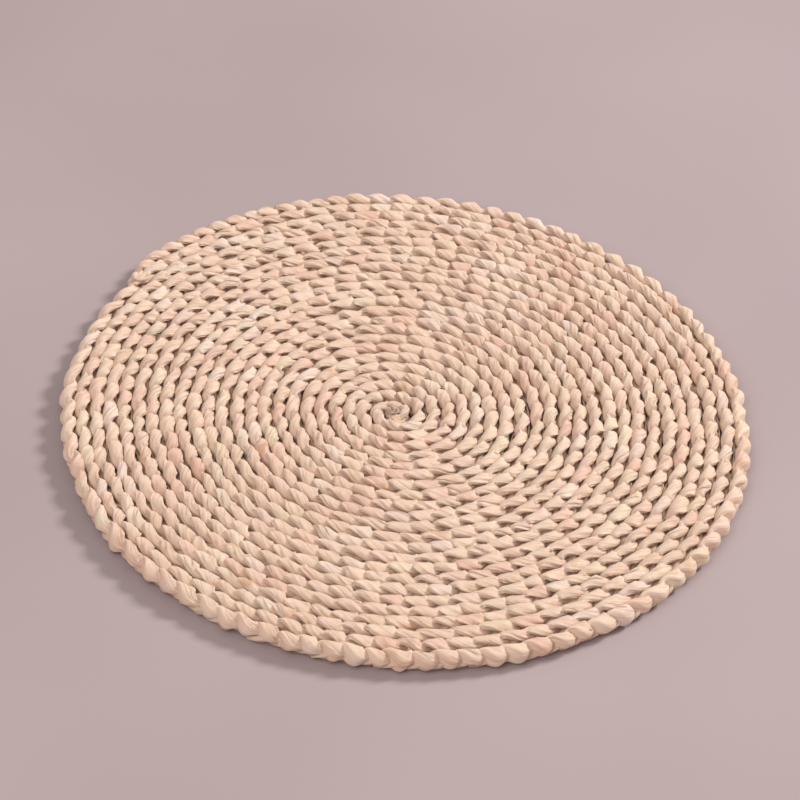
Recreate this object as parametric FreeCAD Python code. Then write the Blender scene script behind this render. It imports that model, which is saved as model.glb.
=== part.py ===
import FreeCAD, Part
import math
import os

# A round seat pad: one long three-strand plait of dried plant husk, stood on edge, coiled
# counter-clockwise outwards from a small knot, and sewn course to course with a thread that
# runs along every seam. Each course is one turn of the plait; the last one is part of a turn
# and ends in a tapered tail. Millimetres, +Z up, the underside flat on z = 0, and the origin
# at the bottom centre of the pad's box.

# ---- driving dimensions -------------------------------------------------------------------
COURSE_COUNT = 24           # turns of plait from the knot to the rim, the part turn included
PLAIT_WIDTH = 7.8           # across one course, seen from above
PLAIT_HEIGHT = 12.0         # the plait stands on edge, so this is the pad's thickness
EDGE_ROUND = 2.6            # rounding along the plait's four long edges
SEAM_GAP = 0.3              # room between two courses where they lie closest
WANDER = 0.22               # how far the coil's centre creeps with each turn
WANDER_AZIMUTH = 20.0       # degrees, the way it creeps; every course starts on this side
KNOT_RADIUS = 4.0           # round side of the knot that the coil is started around
KNOT_HEIGHT = 11.4
KNOT_ROUND = 1.4
TAIL_AZIMUTH = 144.0        # degrees, where the last course's full section ends
TAIL_LENGTH = 18.0          # from there to the tip, along the rim
TAIL_TIP_WIDTH = 3.2
TAIL_TIP_HEIGHT = 5.6
TAIL_SECTIONS = 5           # sections that the tail is lofted through
THREAD_DIAMETER = 1.1       # sewing thread
THREAD_PLAY = 0.3           # room round the thread where it lies midway between its courses
THREAD_STOP = 2.0           # the thread ends this far short of the tail
ROUND_LIMIT = 0.8           # most of a half side that a rounding may take
KNOT_ROUND_LIMIT = 0.4      # most of the knot's radius that its rounding may take

# ---- what follows from them ---------------------------------------------------------------
PITCH = PLAIT_WIDTH + SEAM_GAP + WANDER
FIRST_RADIUS = KNOT_RADIUS + SEAM_GAP + PLAIT_WIDTH / 2.0
MID_HEIGHT = PLAIT_HEIGHT / 2.0
THREAD_RADIUS = THREAD_DIAMETER / 2.0
CHANNEL_RADIUS = THREAD_RADIUS + THREAD_PLAY
START = 0.0                 # a course's angles are measured from the side it starts on
HALF_TURN = 180.0
FULL_TURN = 360.0
LAST_END = TAIL_AZIMUTH - WANDER_AZIMUTH

UP = FreeCAD.Vector(0, 0, 1)


def coil_arc(turn, angle):
    """Centre (along the creep) and radius of a turn's middle line at this angle.

    A turn is two tangent half circles. Turn 0 is the first course.
    """
    centre = turn * WANDER
    radius = FIRST_RADIUS + turn * PITCH
    if angle >= HALF_TURN:
        centre += (PITCH + WANDER) / 2.0
        radius += (PITCH + WANDER) / 2.0
    return centre, radius


def section_wire(width, height, rounding, radius, middle):
    """Rounded rectangle in the XZ plane, centred at x = radius and z = middle."""
    half_w = width / 2.0
    half_h = height / 2.0
    edge = min(rounding, ROUND_LIMIT * half_w, ROUND_LIMIT * half_h)
    bow = edge * (1.0 - math.sqrt(0.5))

    def point(x, z):
        return FreeCAD.Vector(radius + x, 0, middle + z)

    edges = []
    corners = [(1, 1), (-1, 1), (-1, -1), (1, -1)]
    for index, (sx, sz) in enumerate(corners):
        along_z = point(sx * half_w, sz * (half_h - edge))
        along_x = point(sx * (half_w - edge), sz * half_h)
        mid = point(sx * (half_w - bow), sz * (half_h - bow))
        first, last = (along_z, along_x) if sx == sz else (along_x, along_z)
        edges.append(Part.Arc(first, mid, last).toShape())
        nx, nz = corners[(index + 1) % 4]
        if nx == nz:
            following = point(nx * half_w, nz * (half_h - edge))
        else:
            following = point(nx * (half_w - edge), nz * half_h)
        edges.append(Part.LineSegment(last, following).toShape())
    return Part.Wire(edges)


def disc(x, z, radius):
    """Round face in the XZ plane."""
    circle = Part.Circle(FreeCAD.Vector(x, 0, z), FreeCAD.Vector(0, -1, 0), radius)
    return Part.Face(Part.Wire([circle.toShape()]))


def sweep_round(face, centre, start, end):
    """Turn a face, drawn at angle 0 about the origin, about the vertical through centre."""
    placed = face.copy()
    placed.rotate(FreeCAD.Vector(0, 0, 0), UP, start)
    placed.translate(FreeCAD.Vector(centre, 0, 0))
    return placed.revolve(FreeCAD.Vector(centre, 0, 0), UP, end - start)


def joined(pieces):
    """One solid from spans that share their end faces."""
    shape = pieces[0]
    for piece in pieces[1:]:
        shape = shape.fuse(piece)
    if len(pieces) > 1:
        shape = shape.removeSplitter()
    return shape.Solids[0]


def course(turn):
    """One turn of plait, with the thread's channel in each side that is sewn."""
    last = COURSE_COUNT - 1
    end = LAST_END if turn == last else FULL_TURN
    stops = {START, end}
    if end > HALF_TURN:
        stops.add(HALF_TURN)
    if turn == last - 1:
        stops.add(LAST_END)
    stops = sorted(stops)
    spans = []
    for start, stop in zip(stops, stops[1:]):
        centre, radius = coil_arc(turn, start)
        face = Part.Face(section_wire(PLAIT_WIDTH, PLAIT_HEIGHT, EDGE_ROUND, radius, MID_HEIGHT))
        sewn_outside = turn < last - 1 or (turn == last - 1 and stop <= LAST_END)
        if turn > 0:
            face = face.cut(disc(radius - PITCH / 2.0, MID_HEIGHT, CHANNEL_RADIUS)).Faces[0]
        if sewn_outside:
            face = face.cut(disc(radius + PITCH / 2.0, MID_HEIGHT, CHANNEL_RADIUS)).Faces[0]
        spans.append(sweep_round(face, centre, start, stop))
    return joined(spans)


def seam_thread(turn):
    """The sewing thread along the seam between this turn and the next."""
    end = FULL_TURN
    if turn == COURSE_COUNT - 2:
        end = LAST_END - math.degrees(THREAD_STOP / coil_arc(turn, LAST_END)[1])
    spans = []
    for start, stop in [(START, min(end, HALF_TURN)), (HALF_TURN, end)]:
        if stop <= start:
            continue
        centre, radius = coil_arc(turn, start)
        face = disc(radius + PITCH / 2.0, MID_HEIGHT, THREAD_RADIUS)
        spans.append(sweep_round(face, centre + WANDER / 2.0, start, stop))
    return joined(spans)


def centre_knot():
    """The knot in the middle: a comma that fills the eye of the coil, rounded top and bottom.

    It is round for half a turn, then widens round a second centre until it meets the first
    course's start.
    """
    base = MID_HEIGHT - KNOT_HEIGHT / 2.0
    step = (PITCH + WANDER) / 2.0
    wide = KNOT_RADIUS + step

    def point(x, y):
        return FreeCAD.Vector(x, y, base)

    outline = Part.Wire([
        Part.Arc(point(KNOT_RADIUS, 0), point(0, KNOT_RADIUS), point(-KNOT_RADIUS, 0)).toShape(),
        Part.Arc(point(-KNOT_RADIUS, 0), point(step, -wide), point(step + wide, 0)).toShape(),
        Part.LineSegment(point(step + wide, 0), point(KNOT_RADIUS, 0)).toShape(),
    ])
    knot = Part.Face(outline).extrude(UP * KNOT_HEIGHT)
    uprights = [edge for edge in knot.Edges if edge.BoundBox.ZLength > KNOT_HEIGHT / 2.0]
    rims = [edge for edge in knot.Edges if not any(edge.isSame(other) for other in uprights)]
    return knot.makeFillet(min(KNOT_ROUND, KNOT_ROUND_LIMIT * KNOT_RADIUS), rims).Solids[0]


def tail():
    """The plait's end: it tapers along the rim and stays against the course inside it."""
    centre, radius = coil_arc(COURSE_COUNT - 1, LAST_END)
    inner = radius - PLAIT_WIDTH / 2.0
    wires = []
    for index in range(TAIL_SECTIONS):
        share = index / (TAIL_SECTIONS - 1)
        ease = share * share * (3.0 - 2.0 * share)
        width = PLAIT_WIDTH + (TAIL_TIP_WIDTH - PLAIT_WIDTH) * ease
        height = PLAIT_HEIGHT + (TAIL_TIP_HEIGHT - PLAIT_HEIGHT) * ease
        rounding = EDGE_ROUND * width / PLAIT_WIDTH
        wire = section_wire(width, height, rounding, inner + width / 2.0, MID_HEIGHT)
        wire.rotate(FreeCAD.Vector(0, 0, 0), UP, LAST_END + math.degrees(share * TAIL_LENGTH / radius))
        wire.translate(FreeCAD.Vector(centre, 0, 0))
        wires.append(wire)
    return Part.makeLoft(wires, True, True).Solids[0]


def build():
    """Every node's solid, in the pad's own frame."""
    nodes = {"centre_knot": centre_knot()}
    for turn in range(COURSE_COUNT):
        nodes["course_%02d" % (turn + 1)] = course(turn)
    for turn in range(COURSE_COUNT - 1):
        nodes["seam_thread_%02d" % (turn + 1)] = seam_thread(turn)
    nodes["tail_tuck"] = tail()

    rim = [nodes["course_%02d" % turn] for turn in (COURSE_COUNT - 1, COURSE_COUNT)]
    for shape in nodes.values():
        shape.rotate(FreeCAD.Vector(0, 0, 0), UP, WANDER_AZIMUTH)
    box = Part.makeCompound(rim + [nodes["tail_tuck"]]).optimalBoundingBox(False, False)
    shift = FreeCAD.Vector(-box.Center.x, -box.Center.y, 0)
    for shape in nodes.values():
        shape.translate(shift)
    return nodes, shift, box


def report(nodes, shift, box):
    """Print the figures that the record and the scene need."""
    print("pad %.2f x %.2f x %.2f mm" % (box.XLength, box.YLength, box.ZLength))
    print("knot centre %.3f %.3f mm" % (shift.x, shift.y))
    length = 0.0
    for turn in range(COURSE_COUNT):
        end = LAST_END if turn == COURSE_COUNT - 1 else FULL_TURN
        length += math.radians(min(end, HALF_TURN)) * coil_arc(turn, START)[1]
        length += math.radians(max(end - HALF_TURN, 0.0)) * coil_arc(turn, HALF_TURN)[1]
    print("plait length %.2f m" % (length / 1000.0))
    print("plait volume %.1f cm3" % (sum(s.Volume for s in nodes.values()) / 1000.0))
    middle = COURSE_COUNT // 2
    centre, radius = coil_arc(middle - 1, START)
    turned = FreeCAD.Rotation(UP, WANDER_AZIMUTH).multVec(FreeCAD.Vector(centre + radius, 0, 0))
    print("underside of course %d at %.3f %.3f mm" % (middle, (turned + shift).x, (turned + shift).y))


def main():
    os.makedirs("parts", exist_ok=True)
    nodes, shift, box = build()
    for name, shape in nodes.items():
        if not shape.isValid() or shape.ShapeType != "Solid":
            raise RuntimeError("%s is not a valid solid" % name)
        shape.exportStep("parts/%s.step" % name)
    report(nodes, shift, box)


main()
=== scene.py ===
import math

import bpy
import numpy as np
from mathutils import Matrix, Vector


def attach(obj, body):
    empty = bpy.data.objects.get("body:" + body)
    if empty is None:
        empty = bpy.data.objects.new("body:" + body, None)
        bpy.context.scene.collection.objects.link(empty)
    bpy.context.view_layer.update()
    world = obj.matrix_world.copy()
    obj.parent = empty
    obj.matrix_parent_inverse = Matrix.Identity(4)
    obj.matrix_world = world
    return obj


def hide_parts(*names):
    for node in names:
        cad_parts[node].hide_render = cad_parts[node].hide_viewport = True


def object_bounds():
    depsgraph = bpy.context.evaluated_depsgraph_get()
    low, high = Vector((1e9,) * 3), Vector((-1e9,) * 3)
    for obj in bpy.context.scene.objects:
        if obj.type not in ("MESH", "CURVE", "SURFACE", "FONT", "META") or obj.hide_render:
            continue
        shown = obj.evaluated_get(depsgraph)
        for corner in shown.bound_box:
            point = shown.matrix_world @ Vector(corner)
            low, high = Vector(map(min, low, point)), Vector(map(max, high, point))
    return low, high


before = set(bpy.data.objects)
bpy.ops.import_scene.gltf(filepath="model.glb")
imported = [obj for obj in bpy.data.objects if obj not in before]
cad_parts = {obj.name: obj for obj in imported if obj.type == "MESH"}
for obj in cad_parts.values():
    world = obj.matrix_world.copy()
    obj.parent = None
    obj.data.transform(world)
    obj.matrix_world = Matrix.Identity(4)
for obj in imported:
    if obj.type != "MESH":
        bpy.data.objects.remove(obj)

CAD_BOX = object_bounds()
SEED = 468
UP = np.array([0.0, 0.0, 1.0])

# A round seat pad: one three-strand plait of dried husk, stood on edge, coiled outwards from a
# small knot and sewn course to course. Each course of the CAD model is replaced by its three
# husk strands. Metres.

# ---- the coil, as the CAD model has it ----------------------------------------------------
COURSES = sum(1 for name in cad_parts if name.startswith("course_"))
COURSE_WIDTH = 0.0078
SEAM_GAP = 0.0003
WANDER = 0.00022
WANDER_AZIMUTH = math.radians(20.0)
KNOT_RADIUS = 0.004
TAIL_AZIMUTH = math.radians(144.0)
TAIL_LENGTH = 0.018
PITCH = COURSE_WIDTH + SEAM_GAP + WANDER
HALF_STEP = (PITCH + WANDER) / 2
FIRST_RADIUS = KNOT_RADIUS + SEAM_GAP + COURSE_WIDTH / 2
LAST_ANGLE = TAIL_AZIMUTH - WANDER_AZIMUTH
THICKNESS = CAD_BOX[1].z - CAD_BOX[0].z
MID_HEIGHT = THICKNESS / 2

# ---- the plait ----------------------------------------------------------------------------
STRANDS = 3
EYE_PERIOD = 0.030          # length in which a strand crosses and comes back, in the eye
STRAND_PERIOD = 0.0403      # the same in the courses that follow
RIM_PERIOD = 0.0430         # and at the rim, where the plait is looser
EYE_REACH = 0.16            # length of plait over which it grows to full size
PERIOD_REACH = 0.80         # length of plait over which its period grows
RISE = 0.0040               # how far a strand swings up and down
PEAK = 0.12                 # how sharply it turns at the plait's edge
SWAY = 0.0022               # how far it swings in and out
TILT = math.radians(58.0)   # how far its flat side leans towards the face it passes
LOBE_WIDTH = 0.0050         # half width of a strand where it folds round the plait's edge
LOBE_HEIGHT = 0.0017
WAIST_WIDTH = 0.0020        # half width where it passes under its neighbour
WAIST_HEIGHT = 0.0020
LOBE_REACH = 0.50           # share of a half period over which a lobe narrows to its waist
LOBE_POINT = 1.45           # how pointed its corners are
LOBE_SKEW = 0.20            # how far its outer corner lies behind the crest, and its inner one ahead
CREST_STEP = 0.0010         # distance between a strand's rings where it shows
HIDDEN_STEP = 0.0019        # and where it is hidden
SHOW_GAIN = 1.3             # how soon the rings draw together as it comes into view
SEARCH_STEP = 0.0003        # length of plait between the places where that is worked out
LEAST_STEPS = 8             # a strand has at least this many steps between rings
SPARE_RINGS = 3             # rings past both ends of a strand, for its direction there
AROUND = 30                 # points round a ring
STRIP_AROUND = 8            # points round a loose strip
EYE_SIZE = 0.72             # a strand's width and sway at the knot, as a share of their full size
EYE_GROWTH = 0.10           # what they gain in the eye
COURSE_GROWTH = 0.18        # and over EYE_REACH
EYE_RISE = 0.84             # share of the swing up and down that is left at the knot
TABLE_STEP = 0.0005         # length of plait between two entries of the phase table
TABLE_SPARE = 0.008         # how far the table runs past both ends of the plait
PERIOD_DRIFT = 0.10         # spread of the period, as a share of itself
PERIOD_DRIFT_MOST = 0.22    # it never strays further than this
PERIOD_DRIFT_REACH = 0.060  # length of plait over which it drifts
PHASE_DRIFT = 0.13          # spread of a strand's lead on the others, in radians
PHASE_DRIFT_REACH = 0.020
WOBBLE_SIZE = 0.00028       # spread of the whole plait's wandering in and out
WOBBLE_REACH = 0.035
LOBES_SPARE = 8             # lobes past the plait's end
LOBE_BLEND = 0.14           # share of a lobe, at each end, over which its values pass to the next


def half_turn(turn, second):
    """Centre along the creep and radius of a half turn's middle line."""
    if second:
        return turn * WANDER + HALF_STEP, FIRST_RADIUS + turn * PITCH + HALF_STEP
    return turn * WANDER, FIRST_RADIUS + turn * PITCH


def arc_list():
    """(length at its start, start angle, centre, radius, sweep) of every half turn, from the eye out."""
    arcs = []
    length = 0.0
    for turn in range(-1, COURSES):
        for second in (False, True):
            centre, radius = half_turn(turn, second)
            if turn < 0 and not second:
                continue
            sweep = math.pi
            if turn == COURSES - 1:
                if second:
                    continue
                sweep = LAST_ANGLE + TAIL_LENGTH / radius
            arcs.append((length, math.pi if second else 0.0, centre, radius, sweep))
            length += radius * sweep
    return arcs, length


ARCS, FULL_LENGTH = arc_list()
ARC_START = np.array([a[0] for a in ARCS])
EYE_LENGTH = ARCS[1][0]                        # plait that lies in the eye, before course_01


def course_span(number):
    """Where course number (1 is the first) starts and ends along the plait."""
    start = ARCS[1 + 2 * (number - 1)][0]
    if number < COURSES:
        return start, ARCS[1 + 2 * number][0]
    return start, start + half_turn(COURSES - 1, False)[1] * LAST_ANGLE


def middle_line(s):
    """Points on the plait's middle line, before the shift, and the outward direction there."""
    index = np.clip(np.searchsorted(ARC_START, s, side="right") - 1, 0, len(ARCS) - 1)
    start, angle, centre, radius = (np.array([a[k] for a in ARCS])[index] for k in range(4))
    around = angle + (s - start) / radius
    out = np.stack([np.cos(around), np.sin(around), np.zeros_like(s)], -1)
    place = out * radius[:, None]
    place[:, 0] += centre
    turn = np.array(Matrix.Rotation(WANDER_AZIMUTH, 3, "Z"))
    return place @ turn.T, out @ turn.T


TAIL_START = course_span(COURSES)[1]
RIM_SAMPLES = 4000


def coil_shift():
    """Shift that centres the coil's rim in the CAD model's box."""
    s = np.linspace(ARC_START[-3], TAIL_START, RIM_SAMPLES)
    place, out = middle_line(s)
    rim = place + out * COURSE_WIDTH / 2
    low, high = rim.min(0), rim.max(0)
    return Vector(((CAD_BOX[0].x + CAD_BOX[1].x - low[0] - high[0]) / 2,
                   (CAD_BOX[0].y + CAD_BOX[1].y - low[1] - high[1]) / 2, 0))


SHIFT = np.array(coil_shift())

# ---- the tail and the rim -----------------------------------------------------------------
TAIL_LEAD = 0.006           # the plait starts to lean in this far before its tail
TAIL_TUCK = 0.0042          # how far the tail's tip leans in against the course inside it
TAIL_SLIM = 0.55            # share of the strands' width and sway that is gone at the tip
TAIL_FLAT = 0.30            # share of their thickness that is gone there
TAIL_LOW = 0.42             # and of their swing up and down
TAIL_LIFT = 0.0008          # how far the tip is raised
RIM_START = course_span(COURSES - 1)[0] + half_turn(COURSES - 2, False)[1] * LAST_ANGLE + TAIL_LENGTH
RIM_EASE = 0.012            # length of plait over which the rim's drape sets in
RIM_POINT = 0.85            # a lobe is blunter at the rim than inside it (see LOBE_POINT)
RIM_TUCK = 0.0009           # how far the strands near the floor lie back under the drape
DRAPE = 1.3                 # how much wider the outer half of a lobe is at the rim
DRAPE_FROM = 0.0026         # the lobe hangs down from this far out
DRAPE_TURN = math.radians(76.0)     # how steeply it hangs
DRAPE_MOST = 0.0080         # a lobe's hanging edge comes close to this, and no lobe's passes it


def smooth(x):
    x = np.clip(x, 0, 1)
    return x * x * (3 - 2 * x)


# ---- phase of the plait along its length --------------------------------------------------
def slow_noise(rng, positions, reach, spread):
    """Random values that drift over this length."""
    marks = np.arange(positions[0] - reach, positions[-1] + 2 * reach, reach)
    return np.interp(positions, marks, rng.normal(0, spread, len(marks)))


def phase_table():
    """Lengths along the plait, and the phase of each strand there."""
    rng = np.random.default_rng(SEED)
    s = np.arange(-TABLE_SPARE, FULL_LENGTH + TABLE_SPARE, TABLE_STEP)
    period = EYE_PERIOD + (STRAND_PERIOD - EYE_PERIOD) * smooth(s / PERIOD_REACH)
    period += (RIM_PERIOD - STRAND_PERIOD) * np.clip(s / FULL_LENGTH, 0, 1)
    drift = slow_noise(rng, s, PERIOD_DRIFT_REACH, PERIOD_DRIFT)
    period *= 1 + np.clip(drift, -PERIOD_DRIFT_MOST, PERIOD_DRIFT_MOST)
    shared = np.concatenate([[0], np.cumsum(2 * np.pi / period[:-1] * TABLE_STEP)])
    phases = []
    for strand in range(STRANDS):
        own = slow_noise(rng, s, PHASE_DRIFT_REACH, PHASE_DRIFT)
        phases.append(shared + 2 * np.pi * strand / STRANDS + own)
    return s, phases


PHASE_S, PHASE = phase_table()
WOBBLE = slow_noise(np.random.default_rng(SEED + 4), PHASE_S, WOBBLE_REACH, WOBBLE_SIZE)
LOBES = int(PHASE[0][-1] / np.pi) + LOBES_SPARE         # half periods per strand
RNG = np.random.default_rng(SEED + 1)


def lobe_values(spread):
    """One random value per lobe and strand, within two spreads."""
    return np.clip(RNG.normal(0, spread, (STRANDS, LOBES)), -2 * spread, 2 * spread)


def crease_depths(mean, spread, most):
    """Depth of one crease on every lobe of every strand; on many lobes it is 0."""
    return np.clip(RNG.normal(mean, spread, (STRANDS, LOBES)), 0, most)


LOBE = {
    "wide": lobe_values(0.16),
    "high": lobe_values(0.10),
    "lift": lobe_values(0.00026),
    "side": lobe_values(0.00045),
    "peak": lobe_values(0.07),
    "skew": lobe_values(0.05),
    "crease_a": RNG.uniform(0.08, 0.19, (STRANDS, LOBES)),
    "crease_b": RNG.uniform(0.21, 0.31, (STRANDS, LOBES)),
    "crease_c": RNG.uniform(0.34, 0.44, (STRANDS, LOBES)),
    "deep_a": crease_depths(0.07, 0.12, 0.32),
    "deep_b": crease_depths(0.05, 0.10, 0.28),
    "deep_c": crease_depths(0.06, 0.11, 0.30),
}
CREASES = ("a", "b", "c")
CREASE_WIDTH = 0.045        # share of the strand's girth
WRINKLE = 0.036             # size of the small wrinkles, as a share of the strand's size
WRINKLE_STEP = 0.0050       # length of plait over which they change
WRINKLE_LEAD = 0.02         # the rows of wrinkles start this far before the plait
WRINKLE_ROWS = int(FULL_LENGTH / WRINKLE_STEP) + 12
WRINKLES = RNG.normal(0, WRINKLE, (STRANDS, WRINKLE_ROWS, AROUND))
FLATS = 6                   # flat sides of a strand
FLAT_EDGE = 24              # how sharp the edges between them are
for flat in range(FLATS):
    LOBE["turn_%d" % flat] = 2 * math.pi * flat / FLATS + lobe_values(0.13)
    LOBE["reach_%d" % flat] = 1 + lobe_values(0.05)


def along_lobes(name, strand, half_turns):
    """A per-lobe value at these phases: held over the lobe, blended where it dives."""
    nearest = np.floor(half_turns + 0.5).astype(int)
    part = half_turns + 0.5 - nearest               # 0..1 across this lobe
    values = LOBE[name][strand]
    here = values[np.clip(nearest, 0, LOBES - 1)]
    before = values[np.clip(nearest - 1, 0, LOBES - 1)]
    after = values[np.clip(nearest + 1, 0, LOBES - 1)]
    low = smooth((LOBE_BLEND - part) / (2 * LOBE_BLEND))
    high = smooth((part - 1 + LOBE_BLEND) / (2 * LOBE_BLEND))
    return here * (1 - low - high) + before * low + after * high


def at_rim(s):
    """0 where another course lies outside the plait, 1 where it is the pad's rim."""
    return smooth((s - RIM_START) / RIM_EASE)


def strand_rings(strand, s):
    """Ring centres, half sizes and phase of one strand along the plait."""
    phase = np.interp(s, PHASE_S, PHASE[strand])
    half_turns = phase / np.pi
    place, out = middle_line(s)
    started = smooth(s / EYE_LENGTH)                    # 0 at the knot, 1 where the first course starts
    grown = EYE_SIZE + EYE_GROWTH * started + COURSE_GROWTH * smooth(s / EYE_REACH)
    top = np.cos(phase)
    height = RISE * (top + PEAK * np.cos(3 * phase)) / (1 + PEAK)
    past_crest = half_turns - np.floor(half_turns + 0.5) - along_lobes("peak", strand, half_turns)
    skew = LOBE_SKEW + along_lobes("skew", strand, half_turns)
    spread = (LOBE_WIDTH - WAIST_WIDTH) * (1 + along_lobes("wide", strand, half_turns))
    corners = [np.clip(1 - np.abs(past_crest + way * skew) / LOBE_REACH, 0, 1) for way in (1, -1)]
    point = LOBE_POINT + (RIM_POINT - LOBE_POINT) * at_rim(s)
    half_w = [WAIST_WIDTH + spread * corners[0] ** point, WAIST_WIDTH + spread * corners[1] ** LOBE_POINT]
    bulge = np.clip(1 - np.abs(past_crest) / LOBE_REACH, 0, 1)
    half_h = WAIST_HEIGHT + (LOBE_HEIGHT - WAIST_HEIGHT) * bulge
    half_h *= 1 + along_lobes("high", strand, half_turns)
    ended = smooth((s - TAIL_START + TAIL_LEAD) / (TAIL_LENGTH + TAIL_LEAD))    # 1 at the tail's tip
    slim = grown * (1 - TAIL_SLIM * ended)
    side = SWAY * np.sin(2 * phase) * slim + along_lobes("side", strand, half_turns) - TAIL_TUCK * ended
    side += np.interp(s, PHASE_S, WOBBLE) * started - RIM_TUCK * at_rim(s) * np.clip(-top, 0, 1)
    centre = place + SHIFT + out * side[:, None]
    lift = along_lobes("lift", strand, half_turns) * np.abs(top)
    swing = (height + lift) * (1 - TAIL_LOW * ended) * (EYE_RISE + (1 - EYE_RISE) * started)
    centre[:, 2] = MID_HEIGHT + swing + TAIL_LIFT * ended
    half_h *= 1 - TAIL_FLAT * ended
    return centre, half_w[0] * slim, half_w[1] * slim, half_h, phase, half_turns


def fold_line(v_top, at, depth, width):
    """A crease along the strand: how much it takes off the radius at each point round the ring."""
    return depth * np.clip(1 - np.abs(v_top - at) / width, 0, 1)


def flat_sides(angle, value):
    """Radius at these angles of a bundle with flat sides."""
    total = np.zeros_like(angle)
    for flat in range(FLATS):
        facing = np.clip(np.cos(angle - value["turn_%d" % flat]) / value["reach_%d" % flat], 0, None)
        total += facing ** FLAT_EDGE
    return total ** (-1 / FLAT_EDGE)


def ring_places(strand, first, last):
    """Where a strand's rings lie: closer together where it shows."""
    s = np.arange(first, last + SEARCH_STEP, SEARCH_STEP)
    showing = np.abs(np.cos(np.interp(s, PHASE_S, PHASE[strand])))
    step = HIDDEN_STEP + (CREST_STEP - HIDDEN_STEP) * smooth(showing * SHOW_GAIN)
    count = np.concatenate([[0], np.cumsum(SEARCH_STEP / step[:-1])])
    steps = max(int(round(count[-1])), LEAST_STEPS)
    return np.interp(np.linspace(0, count[-1], steps + 1), count, s)


def strand_frames(strand, s):
    """Ring centres, two axes, half sizes, phase and half turns of one strand."""
    spare = CREST_STEP * np.arange(1, SPARE_RINGS + 1)
    wide_s = np.concatenate([s[0] - spare[::-1], s, s[-1] + spare])
    centre, outer_w, inner_w, half_h, phase, half_turns = strand_rings(strand, wide_s)
    tangent = np.gradient(centre, wide_s, axis=0)
    tangent /= np.linalg.norm(tangent, axis=1)[:, None]
    level = np.cross(tangent, UP)
    level /= np.linalg.norm(level, axis=1)[:, None]
    rising = np.cross(level, tangent)
    lean = (TILT * np.sin(phase))[:, None]
    side = level * np.cos(lean) - rising * np.sin(lean)
    up = rising * np.cos(lean) + level * np.sin(lean)
    cut = slice(SPARE_RINGS, SPARE_RINGS + len(s))
    return [a[cut] for a in (centre, side, up, outer_w, inner_w, half_h, phase, half_turns)]


def strand_surface(strand, s):
    """Vertices (rings, around, 3) and half turns of one strand."""
    centre, side, up, outer_w, inner_w, half_h, phase, half_turns = strand_frames(strand, s)
    v = np.arange(AROUND) / AROUND
    angle = 2 * np.pi * v[None, :] + np.zeros((len(s), 1))
    ca, sa = np.cos(angle), np.sin(angle)
    value = {name: along_lobes(name, strand, half_turns)[:, None] for name in LOBE}
    v_top = np.where(np.cos(phase)[:, None] > 0, v[None, :], (v[None, :] + 0.5) % 1.0)
    fold = sum(fold_line(v_top, value["crease_" + c], value["deep_" + c], CREASE_WIDTH) for c in CREASES)
    mark = (s + WRINKLE_LEAD) / WRINKLE_STEP
    row = np.floor(mark).astype(int)
    share = smooth(mark - row)[:, None]
    wrinkle = WRINKLES[strand][row] * (1 - share) + WRINKLES[strand][row + 1] * share
    radial = flat_sides(angle, value) * (1 - fold + wrinkle)
    drape = (at_rim(s) * smooth(np.cos(phase)))[:, None]
    half_w = np.where(ca > 0, outer_w[:, None] * (1 + DRAPE * drape), inner_w[:, None])
    across = ca * radial * half_w
    hanging = np.clip(across - DRAPE_FROM, 0, None) * drape
    across -= hanging
    hanging = DRAPE_MOST * np.tanh(hanging / DRAPE_MOST)
    across += hanging * math.cos(DRAPE_TURN)
    points = (centre[:, None, :]
              + side[:, None, :] * across[:, :, None]
              + up[:, None, :] * (sa * radial * half_h[:, None])[:, :, None])
    points[:, :, 2] -= hanging * math.sin(DRAPE_TURN)
    points[:, :, 2] = np.maximum(points[:, :, 2], 0.0)
    return points, half_turns


def ribbon(path, side, half_w, half_t, around):
    """Vertices of a flat strip along a path, its width along side."""
    tangent = np.gradient(path, axis=0)
    tangent /= np.linalg.norm(tangent, axis=1)[:, None]
    side = side - tangent * np.sum(side * tangent, axis=1)[:, None]
    side /= np.linalg.norm(side, axis=1)[:, None]
    up = np.cross(side, tangent)
    angle = 2 * np.pi * np.arange(around) / around
    return (path[:, None, :] + side[:, None, :] * (np.cos(angle) * half_w[:, None])[:, :, None]
            + up[:, None, :] * (np.sin(angle) * half_t[:, None])[:, :, None])


def strip(path, side, half_w, half_t, tint, around=STRIP_AROUND):
    """A strip as a mesh part: its vertices, length at each ring, and a number that gives its tint."""
    length = np.concatenate([[0], np.cumsum(np.linalg.norm(np.diff(path, axis=0), axis=1))])
    return ribbon(path, side, half_w, half_t, around), length, np.full(len(path), float(tint)), tint % STRANDS


def tube_faces(rings, around, base):
    """Quads of a tube whose vertices start at base, ring by ring."""
    r = np.arange(rings - 1)[:, None] * around
    a = np.arange(around)[None, :]
    b = (a + 1) % around
    quads = np.stack([r + a, r + around + a, r + around + b, r + b], -1) + base
    return quads.reshape(-1, 4)


def at_corners(first, second):
    """A UV pair at each face's four corners, from two values per ring and place round it."""
    r = np.arange(first.shape[0] - 1)[:, None]
    a = np.arange(first.shape[1] - 1)[None, :]
    corners = [(r, a), (r + 1, a), (r + 1, a + 1), (r, a + 1)]
    return np.stack([np.stack([first[i, j], second[i, j]], -1) for i, j in corners], 2).reshape(-1, 2)


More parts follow.
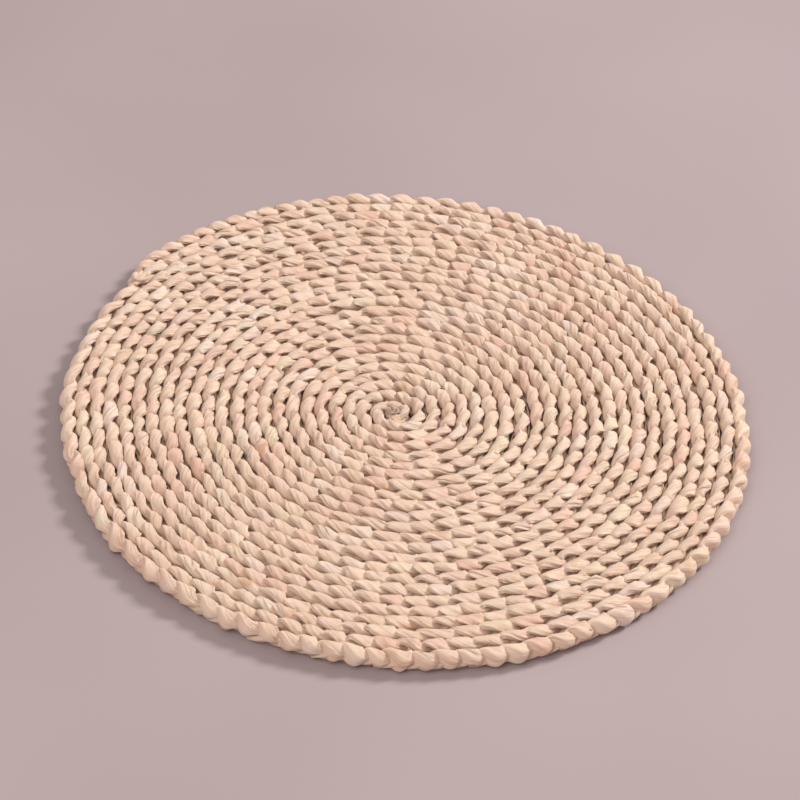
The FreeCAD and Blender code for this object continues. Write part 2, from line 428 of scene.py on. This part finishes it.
def make_mesh(name, parts):
    """One mesh from closed tubes: (points (rings, around, 3), u per ring, lobe per ring, strand)."""
    verts, quads, caps, uv, lobe_uv = [], [], [], [], []
    base = 0
    for points, u, half_turns, strand in parts:
        rings, around = points.shape[:2]
        verts.append(points.reshape(-1, 3))
        quads.append(tube_faces(rings, around, base))
        uu = np.repeat(u[:, None], around + 1, 1)
        vv = np.repeat((np.arange(around + 1) / around)[None, :], rings, 0)
        ll = np.repeat(half_turns[:, None], around + 1, 1)
        uv.append(at_corners(uu, vv))
        lobe_uv.append(at_corners(ll, np.full_like(ll, strand + 0.5)))
        caps.append(base + np.arange(around))
        caps.append(base + (rings - 1) * around + np.arange(around)[::-1])
        base += rings * around
    verts = np.concatenate(verts)
    quads = np.concatenate(quads)
    uv = np.concatenate(uv)
    lobe_uv = np.concatenate(lobe_uv)
    cap_loops = sum(len(c) for c in caps)
    mesh = bpy.data.meshes.new(name)
    mesh.vertices.add(len(verts))
    mesh.vertices.foreach_set("co", verts.astype(np.float32).ravel())
    loops = np.concatenate([quads.ravel()] + caps)
    mesh.loops.add(len(loops))
    mesh.loops.foreach_set("vertex_index", loops.astype(np.int32))
    sizes = np.concatenate([np.full(len(quads), 4), [len(c) for c in caps]]).astype(np.int32)
    starts = np.concatenate([[0], np.cumsum(sizes)[:-1]]).astype(np.int32)
    mesh.polygons.add(len(sizes))
    mesh.polygons.foreach_set("loop_start", starts)
    mesh.polygons.foreach_set("loop_total", sizes)
    smooth_face = np.ones(len(sizes), bool)
    smooth_face[len(quads):] = False
    mesh.polygons.foreach_set("use_smooth", smooth_face)
    for layer, values in (("HuskUV", uv), ("LobeUV", lobe_uv)):
        data = mesh.uv_layers.new(name=layer)
        full = np.concatenate([values, np.zeros((cap_loops, 2))]).astype(np.float32)
        data.data.foreach_set("uv", full.ravel())
    mesh.update(calc_edges=True)
    mesh.validate()
    return mesh


def add_husk(name, parts, node):
    """A piece of plait that stands in for this node of the CAD model."""
    piece = bpy.data.objects.new(name, make_mesh(name, parts))
    bpy.context.scene.collection.objects.link(piece)
    piece.data.materials.append(HUSK)
    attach(piece, "root")
    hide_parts(node)


# ---- materials ----------------------------------------------------------------------------
class Nodes:
    """Short calls for building a node tree."""

    def __init__(self, name):
        self.material = bpy.data.materials.new(name)
        self.material.use_nodes = True
        self.tree = self.material.node_tree
        self.tree.nodes.clear()

    def add(self, kind, inputs=None, **settings):
        node = self.tree.nodes.new(kind)
        for key, value in settings.items():
            setattr(node, key, value)
        for key, value in (inputs or {}).items():
            socket = node.inputs[key]
            if isinstance(value, bpy.types.NodeSocket):
                self.tree.links.new(value, socket)
            else:
                socket.default_value = value
        return node

    def math(self, operation, a, b=0.0):
        return self.add("ShaderNodeMath", {0: a, 1: b}, operation=operation).outputs[0]

    def mix(self, factor, a, b, blend="MIX"):
        node = self.add("ShaderNodeMix", {0: factor, 6: a, 7: b}, data_type="RGBA", blend_type=blend)
        return node.outputs[2]

    def ramp(self, factor, stops):
        node = self.add("ShaderNodeValToRGB", {0: factor})
        while len(node.color_ramp.elements) < len(stops):
            node.color_ramp.elements.new(0.5)
        for element, (position, colour) in zip(node.color_ramp.elements, stops):
            element.position = position
            element.color = colour
        return node.outputs[0]


def grey(value):
    return (value, value, value, 1.0)


def grain(n, uv, strand, along, across, apart, detail, roughness=0.5):
    """Noise laid along and across the husk, different in each strand."""
    at = n.add("ShaderNodeCombineXYZ", {
        0: n.math("MULTIPLY", uv.outputs[0], along),
        1: n.math("MULTIPLY", uv.outputs[1], across),
        2: n.math("MULTIPLY", strand, apart)}).outputs[0]
    noise = {"Vector": at, "Scale": 1.0, "Detail": detail, "Roughness": roughness}
    return n.add("ShaderNodeTexNoise", noise).outputs[0]


HUSK_TINTS = [                              # place on the ramp that a random number picks from, and colour
    (0.00, (0.84, 0.63, 0.49, 1)),
    (0.22, (0.86, 0.63, 0.505, 1)),
    (0.42, (0.86, 0.66, 0.52, 1)),
    (0.62, (0.88, 0.68, 0.54, 1)),
    (0.80, (0.84, 0.57, 0.455, 1)),
    (0.91, (0.89, 0.72, 0.62, 1)),
    (1.00, (0.84, 0.67, 0.49, 1))]
HUSK_CLOUDS = [(0.30, (0.94, 0.90, 0.88, 1)), (0.70, (1.0, 1.0, 1.0, 1))]
HUSK_STREAKS = [(0.30, (0.72, 0.58, 0.48, 1)), (0.50, (1.0, 1.0, 1.0, 1))]
HUSK_MARKS = [(0.66, grey(0.0)), (0.76, grey(1.0))]
HUSK_ROUGHNESS = [(0.3, grey(0.72)), (0.7, grey(0.52))]
MARK_COLOUR = (0.62, 0.33, 0.17, 1)
MARK_STRENGTH = 0.65
STREAK_STRENGTH = 0.75
FINE_SHARE = 0.45           # height of the fine grain against the fibres'
FIBRE_HEIGHT = 0.0007
COTTON = [(0.3, (0.60, 0.46, 0.32, 1)), (0.7, (0.78, 0.64, 0.48, 1))]
COTTON_TWIST = {"Scale": 900.0, "Distortion": 1.5}
TWIST_HEIGHT = 0.0002


def husk_material(name):
    """Dried husk: cream to pink, a tint per lobe, fibres along the strand, a few brown marks."""
    n = Nodes(name)
    uv = n.add("ShaderNodeUVMap", uv_map="HuskUV").outputs[0]
    lobe = n.add("ShaderNodeUVMap", uv_map="LobeUV").outputs[0]
    lobe_parts = n.add("ShaderNodeSeparateXYZ", {0: lobe})
    strand = lobe_parts.outputs[1]
    lobe_number = n.math("FLOOR", n.math("ADD", lobe_parts.outputs[0], 0.5))
    lobe_id = n.add("ShaderNodeCombineXYZ", {0: lobe_number, 1: strand}).outputs[0]
    tint = n.add("ShaderNodeTexWhiteNoise", {0: lobe_id}, noise_dimensions="3D").outputs[0]
    place = n.add("ShaderNodeNewGeometry").outputs[0]
    drift = n.add("ShaderNodeTexNoise", {"Vector": place, "Scale": 26.0, "Detail": 2.0}).outputs[0]
    parts = n.add("ShaderNodeSeparateXYZ", {0: uv})
    fibre = grain(n, parts, strand, along=60.0, across=25.0, apart=7.3, detail=4.0, roughness=0.65)
    fine = grain(n, parts, strand, along=160.0, across=120.0, apart=3.1, detail=2.0)
    spot = grain(n, parts, strand, along=75.0, across=1.6, apart=5.7, detail=3.0)

    colour = n.mix(1.0, n.ramp(tint, HUSK_TINTS), n.ramp(drift, HUSK_CLOUDS), "MULTIPLY")
    streaked = n.mix(1.0, colour, n.ramp(fibre, HUSK_STREAKS), "MULTIPLY")
    colour = n.mix(STREAK_STRENGTH, colour, streaked)
    colour = n.mix(n.math("MULTIPLY", n.ramp(spot, HUSK_MARKS), MARK_STRENGTH), colour, MARK_COLOUR)
    rough = n.ramp(fibre, HUSK_ROUGHNESS)
    height = n.math("ADD", fibre, n.math("MULTIPLY", fine, FINE_SHARE))
    relief = {"Height": height, "Strength": 1.0, "Distance": FIBRE_HEIGHT}
    bump = n.add("ShaderNodeBump", relief).outputs[0]
    shader = n.add("ShaderNodeBsdfPrincipled", {
        "Base Color": colour, "Roughness": rough, "Normal": bump,
        "Specular IOR Level": 0.35, "Sheen Weight": 0.15, "Sheen Roughness": 0.5})
    n.add("ShaderNodeOutputMaterial", {0: shader.outputs[0]})
    return n.material


def thread_material():
    """Twisted cotton thread."""
    n = Nodes("sewing_thread")
    place = n.add("ShaderNodeNewGeometry").outputs[0]
    wave = n.add("ShaderNodeTexWave", {"Vector": place, **COTTON_TWIST}, bands_direction="DIAGONAL")
    fuzz = n.add("ShaderNodeTexNoise", {"Vector": place, "Scale": 500.0}).outputs[0]
    colour = n.ramp(fuzz, COTTON)
    relief = {"Height": wave.outputs[1], "Strength": 0.6, "Distance": TWIST_HEIGHT}
    bump = n.add("ShaderNodeBump", relief).outputs[0]
    shader = n.add("ShaderNodeBsdfPrincipled", {"Base Color": colour, "Roughness": 0.85, "Normal": bump})
    n.add("ShaderNodeOutputMaterial", {0: shader.outputs[0]})
    return n.material


HUSK = husk_material("husk")
THREAD = thread_material()


# ---- the courses --------------------------------------------------------------------------
STRIP_TINTS = 400           # loose strips draw their tint from this many
SLIVER_EVERY = 0.080        # length of plait to one sliver
SLIVER_RINGS = 12
SLIVER_REACH = (0.0025, 0.0065)     # how far it runs back and ahead from its lobe's crest
SLIVER_LEAST = 0.004        # a shorter one is left out
SLIVER_ACROSS = 0.75        # most that it lies off the strand's middle, as a share of the half width
SLIVER_PROUD = 1.02         # how far out it lies, as a share of the strand's half height
SLIVER_LOOSE = 0.45         # its last part stands off, from this share of its length on
SLIVER_ASIDE = 0.0012       # most that its loose end stands off sideways
SLIVER_RAISED = 0.0007      # and away from the strand
SLIVER_WIDTHS = (0.0003, 0.0007)    # half width
SLIVER_THICK = 0.00014      # half thickness
SLIVER_TAPERS = (6, 2.2)    # how fast it widens from its start, and from its end
SLIVER_TIP = 0.12           # its width at the ends, as a share
CURL_EVERY = 0.42           # length of plait to one stray fibre
CURL_RINGS = 18
CURL_AROUND = 6
CURL_TURNS = (3.0, 4.6)     # how far it winds round, in radians
CURL_SIZES = (0.0010, 0.0024)       # its radius
CURL_LEAN = 0.8             # most that it turns away from the seam, in radians
CURL_ROOT = 0.0022          # how far below the pad's upper face it starts
CURL_RISE = 0.0006          # how much it climbs from end to end
CURL_SWAY = 0.0008          # how far it swings in and out
CURL_SWAY_RATE = 0.7        # and how often, against its winding
CURL_LOW = 0.9              # its height against its length
CURL_THICK = 0.8            # its thickness against its width
CURL_WIDTHS = (0.00013, 0.00022)    # half width


def any_tint(rng):
    """A random number that gives a strip its tint."""
    return int(rng.integers(1, STRIP_TINTS))


def hidden_cut(strand, s):
    """The place nearest s where this strand lies hidden under its neighbours."""
    phase = np.interp(s, PHASE_S, PHASE[strand])
    return float(np.interp((math.floor(phase / math.pi) + 0.5) * math.pi, PHASE[strand], PHASE_S))


def plait_parts(start, end, cut_start=True, cut_end=True):
    """The three strands of a stretch of plait, each cut where it is hidden."""
    parts = []
    for strand in range(STRANDS):
        first = hidden_cut(strand, start) if cut_start else start
        last = hidden_cut(strand, end) if cut_end else end
        s = ring_places(strand, first, last)
        points, half_turns = strand_surface(strand, s)
        parts.append((points, s, half_turns, strand))
    return parts


def sliver(rng, start, end):
    """A split edge of husk that lies along a lobe, with one end standing off."""
    strand = int(rng.integers(STRANDS))
    crest = np.interp(rng.uniform(start, end), PHASE_S, PHASE[strand]) / (2 * np.pi)
    crest = float(np.interp(2 * np.pi * round(crest), PHASE[strand], PHASE_S))
    back, ahead = rng.uniform(*SLIVER_REACH, 2)
    s = np.linspace(max(crest - back, start), min(crest + ahead, end), SLIVER_RINGS)
    if s[-1] - s[0] < SLIVER_LEAST:
        return None
    centre, side, up, outer_w, inner_w, half_h = strand_frames(strand, s)[:6]
    across = rng.uniform(-SLIVER_ACROSS, SLIVER_ACROSS)
    half_w = outer_w if across > 0 else inner_w
    share = np.linspace(0, 1, len(s))
    if rng.random() < 0.5:
        share = share[::-1]
    off = smooth((share - SLIVER_LOOSE) / (1 - SLIVER_LOOSE))
    aside = half_w * across + off * rng.uniform(-SLIVER_ASIDE, SLIVER_ASIDE)
    raised = half_h * (SLIVER_PROUD * math.sqrt(1 - across * across)) + off * rng.uniform(0.0, SLIVER_RAISED)
    path = centre + side * aside[:, None] + up * raised[:, None]
    taper = np.clip(np.minimum(share * SLIVER_TAPERS[0], (1 - share) * SLIVER_TAPERS[1]), SLIVER_TIP, 1)
    half_w = rng.uniform(*SLIVER_WIDTHS) * taper
    return strip(path, side, half_w, SLIVER_THICK * taper, any_tint(rng))


def curl(rng, start, end):
    """A stray fibre that stands out of a seam in a small loop."""
    s = np.array([rng.uniform(start, end)])
    place, out = middle_line(s)
    middle = (place + SHIFT - out * COURSE_WIDTH / 2)[0]
    along = np.cross(UP, out[0])
    turn = np.linspace(0, rng.uniform(*CURL_TURNS), CURL_RINGS)
    size = rng.uniform(*CURL_SIZES)
    lean = rng.uniform(-CURL_LEAN, CURL_LEAN)
    flow = along * math.cos(lean) + out[0] * math.sin(lean)
    path = middle + flow * (size * (1 - np.cos(turn)))[:, None]
    path[:, 2] = THICKNESS - CURL_ROOT + size * np.sin(turn) * CURL_LOW + CURL_RISE * turn / turn[-1]
    path += out[0] * (CURL_SWAY * np.sin(turn * CURL_SWAY_RATE))[:, None]
    width = np.full(len(turn), rng.uniform(*CURL_WIDTHS))
    return strip(path, np.repeat(out, len(turn), 0), width, width * CURL_THICK, any_tint(rng), CURL_AROUND)


def build_course(number):
    """One course, with its slivers and stray fibres."""
    start, end = course_span(number)
    name = "course_%02d" % number
    rng = np.random.default_rng(SEED + 100 + number)
    parts = plait_parts(start, end)
    slivers = [sliver(rng, start, end) for _ in range(int((end - start) / SLIVER_EVERY))]
    parts += [part for part in slivers if part]
    parts += [curl(rng, start, end) for _ in range(int((end - start) / CURL_EVERY + rng.random()))]
    add_husk("plait_" + name, parts, name)


for number in range(1, COURSES + 1):
    build_course(number)

for name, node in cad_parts.items():
    if name.startswith("seam_thread_"):
        node.data.materials.clear()
        node.data.materials.append(THREAD)


KNOT_CURLS = 13
KNOT_RINGS = 26             # of one curl
KNOT_SET_IN = 0.0003        # how far the curls' middle lies beside the knot's and below the pad's face
KNOT_LEAST = 0.0005         # radius of the smallest curl
KNOT_GROWTH = 0.0031        # how much larger the widest one is
KNOT_TURNS = (2.6, 4.4)     # how far a curl winds round, in radians
KNOT_OVAL = 0.16            # how far it is from round, as a share of its radius
KNOT_SPREAD = 0.0004        # spread of the curls' middles
KNOT_DOME = 0.0013          # how much higher the smallest curls lie
KNOT_WAVE = 0.0007          # how far a curl winds up and down
KNOT_DIVE = 0.0012          # how far its ends dip
KNOT_WIDTHS = (0.00034, 0.00062)    # half width
KNOT_THICK = (0.5, 0.9)     # a curl's thickness against its width
KNOT_WAVE_RATE = 1.6        # how often it winds up and down, against its winding
KNOT_TIP = 0.25             # its width at the ends, as a share
CORE_RINGS = 14
CORE_BASE = 0.0006          # the bundle's lower end, above the floor
CORE_SHORT = 0.0018         # how much shorter it is than the pad is thick
CORE_SHARE = 0.92           # its radius, as a share of the knot's
CORE_TIP = 0.22             # and its radius at both ends, as a share of that
CORE_TINT = 7


def knot_curls(rng):
    """Thin strips curled over each other where the plait was started."""
    parts = []
    heart = SHIFT + np.array([KNOT_SET_IN, 0.0, THICKNESS - KNOT_SET_IN])
    for number in range(KNOT_CURLS):
        share = number / (KNOT_CURLS - 1)
        size = KNOT_LEAST + KNOT_GROWTH * share
        turn = np.linspace(0, rng.uniform(*KNOT_TURNS), KNOT_RINGS) + rng.uniform(0, 2 * math.pi)
        out = np.stack([np.cos(turn), np.sin(turn), np.zeros_like(turn)], -1)
        swell = size * (1 + KNOT_OVAL * np.sin(2 * turn + rng.uniform(0, 6)))
        path = heart + out * swell[:, None]
        path[:, :2] += rng.normal(0, KNOT_SPREAD, 2)
        ends = np.minimum(np.linspace(0, 1, KNOT_RINGS), np.linspace(1, 0, KNOT_RINGS))
        rise = KNOT_DOME * (1 - share) + KNOT_WAVE * np.sin(KNOT_WAVE_RATE * turn + rng.uniform(0, 6))
        path[:, 2] += rise * smooth(ends * 5) - KNOT_DIVE * smooth(1 - ends * 8)
        taper = np.clip(ends * 7, KNOT_TIP, 1)
        width = rng.uniform(*KNOT_WIDTHS) * taper
        parts.append(strip(path, out, width, width * rng.uniform(*KNOT_THICK), any_tint(rng)))
    return parts


def knot_core():
    """The bundle of husk under the curls, from the underside up."""
    share = np.linspace(0, 1, CORE_RINGS)
    path = np.repeat(SHIFT[None, :], CORE_RINGS, 0)
    path[:, 2] = CORE_BASE + (THICKNESS - CORE_SHORT) * share
    half = KNOT_RADIUS * CORE_SHARE * np.clip(np.sqrt(1 - np.abs(2 * share - 1) ** 3.0), CORE_TIP, 1)
    return strip(path, np.tile([1.0, 0.0, 0.0], (CORE_RINGS, 1)), half, half, CORE_TINT, AROUND)


def build_eye():
    """The plait's start: its strands, the curled strips and the bundle under them."""
    parts = plait_parts(0.0, EYE_LENGTH, cut_start=False)
    parts += knot_curls(np.random.default_rng(SEED + 2))
    parts.append(knot_core())
    add_husk("plait_start", parts, "centre_knot")


build_eye()


LOOP_AT = 0.0112            # the loop's middle, from the end of the last full course
LOOP_IN = 0.0078            # and this far inwards of the plait's middle line
LOOP_RADIUS = 0.0042
LOOP_HALF_WIDTH = 0.0021
LOOP_HALF_THICK = 0.0012
LOOP_RINGS = 40
LOOP_AROUND = 18
LOOP_TURN = (-0.9, 1.72 * math.pi)  # where it starts and ends round its middle, in radians
LOOP_LONG = 1.25            # its length along the plait, against its width
LOOP_CLOSE = 0.25           # share of its radius by which it closes in
LOOP_DEPTH = 0.0004         # its middle lies this far below the pad's upper face
LOOP_WAVE = 0.0004          # and it rises and falls by this on its way round
LOOP_NARROW = 0.45          # share of its width that is gone at its end
LOOP_THIN = 0.3             # and of its thickness
LOOP_BACK = 0.72            # share of its length at which it turns down into the plait again
LOOP_DIVE = 0.0050          # how far its ends go down into the plait
LOOP_LEAN = np.array([0.0, 0.0, 0.35])      # leans its flat side
LOOP_TINT = 91
FRAY_COUNT = 2              # stray fibres at the tail
FRAY_BEFORE = 0.004         # they stand from this far before the tail's start
FRAY_AFTER = 0.010          # to this far past it


def tail_loop():
    """The end of a strand, turned back on itself on top of the tail and tucked into the plait."""
    place, out = middle_line(np.array([TAIL_START + LOOP_AT]))
    along = np.cross(UP, out[0])
    turn = np.linspace(*LOOP_TURN, LOOP_RINGS)
    share = np.linspace(0, 1, len(turn))
    spoke = out[0] * np.cos(turn)[:, None] + along * (LOOP_LONG * np.sin(turn))[:, None]
    reach = LOOP_RADIUS * (1 - LOOP_CLOSE * share)
    path = (place + SHIFT)[0] - out[0] * LOOP_IN + spoke * reach[:, None]
    dive = smooth(1 - share * 5) + smooth((share - LOOP_BACK) / (1 - LOOP_BACK))
    path[:, 2] = THICKNESS - LOOP_DEPTH + LOOP_WAVE * np.sin(turn) - LOOP_DIVE * dive
    half_w = LOOP_HALF_WIDTH * (1 - LOOP_NARROW * share)
    half_t = LOOP_HALF_THICK * (1 - LOOP_THIN * share)
    return strip(path, spoke + LOOP_LEAN, half_w, half_t, LOOP_TINT, LOOP_AROUND)


def build_tail():
    """The plait's end, with its turned-back loop and a few stray fibres."""
    parts = plait_parts(TAIL_START, FULL_LENGTH, cut_end=False)
    rng = np.random.default_rng(SEED + 3)
    parts.append(tail_loop())
    parts += [curl(rng, TAIL_START - FRAY_BEFORE, TAIL_START + FRAY_AFTER) for _ in range(FRAY_COUNT)]
    add_husk("plait_tail", parts, "tail_tuck")


build_tail()


# ---- floor, light, camera -----------------------------------------------------------------
FLOOR_HALF = 4.0
FLOOR_CLOUDS = [(0.3, (0.375, 0.297, 0.306, 1)), (0.7, (0.42, 0.34, 0.35, 1))]
ELEVATION = math.radians(41.64)     # of the camera, above the floor
ROLL = math.radians(4.15)           # about its own axis
DISTANCE = 9.2                      # in pad radii, as is the place that it looks at
LOOK_AT = (-0.021, 0.0913)
SENSOR_WIDTH = 36.0
LENS = 140.98


def stage_floor():
    """A plain pale floor."""
    mesh = bpy.data.meshes.new("floor")
    corners = [(x * FLOOR_HALF, y * FLOOR_HALF, 0) for x, y in ((-1, -1), (1, -1), (1, 1), (-1, 1))]
    mesh.from_pydata(corners, [], [(0, 1, 2, 3)])
    floor = bpy.data.objects.new("floor", mesh)
    bpy.context.scene.collection.objects.link(floor)
    n = Nodes("floor")
    place = n.add("ShaderNodeNewGeometry").outputs[0]
    cloud = n.add("ShaderNodeTexNoise", {"Vector": place, "Scale": 3.0}).outputs[0]
    colour = n.ramp(cloud, FLOOR_CLOUDS)
    shader = n.add("ShaderNodeBsdfPrincipled", {"Base Color": colour, "Roughness": 0.6})
    n.add("ShaderNodeOutputMaterial", {0: shader.outputs[0]})
    mesh.materials.append(n.material)


def area_light(name, place, size, watts, colour):
    """A round light that faces the middle of the pad."""
    light = bpy.data.lights.new(name, "AREA")
    light.shape = "DISK"
    light.size = size
    light.energy = watts
    light.color = colour
    lamp = bpy.data.objects.new(name, light)
    lamp.location = place
    lamp.rotation_euler = (-Vector(place)).to_track_quat("-Z", "Y").to_euler()
    bpy.context.scene.collection.objects.link(lamp)


def world_light(colour, strength):
    world = bpy.data.worlds.new("studio")
    world.use_nodes = True
    background = world.node_tree.nodes["Background"]
    background.inputs[0].default_value = colour
    background.inputs[1].default_value = strength
    bpy.context.scene.world = world


def set_camera():
    """A long lens, well above the pad, turned a few degrees about its own axis."""
    radius = (CAD_BOX[1].x - CAD_BOX[0].x + CAD_BOX[1].y - CAD_BOX[0].y) / 4
    target = Vector((LOOK_AT[0] * radius, LOOK_AT[1] * radius, 0))
    back = Vector((0, -math.cos(ELEVATION), math.sin(ELEVATION)))
    place = target + DISTANCE * radius * back
    data = bpy.data.cameras.new("camera")
    data.sensor_width = SENSOR_WIDTH
    data.lens = LENS
    data.clip_start = 0.05
    camera = bpy.data.objects.new("camera", data)
    aim = (target - place).to_track_quat("-Z", "Y").to_matrix().to_4x4()
    roll = Matrix.Rotation(ROLL, 4, "Z")
    camera.matrix_world = Matrix.Translation(place) @ aim @ roll
    bpy.context.scene.collection.objects.link(camera)
    bpy.context.scene.camera = camera


stage_floor()
area_light("key", (2.35, 1.45, 1.95), 0.80, 107.0, (1.0, 0.98, 0.95))
area_light("fill", (-0.9, -1.2, 1.6), 1.6, 19.0, (1.0, 0.97, 0.94))
world_light((1.0, 0.94, 0.89, 1), 0.47)
set_camera()

bpy.context.scene.view_settings.view_transform = "Standard"
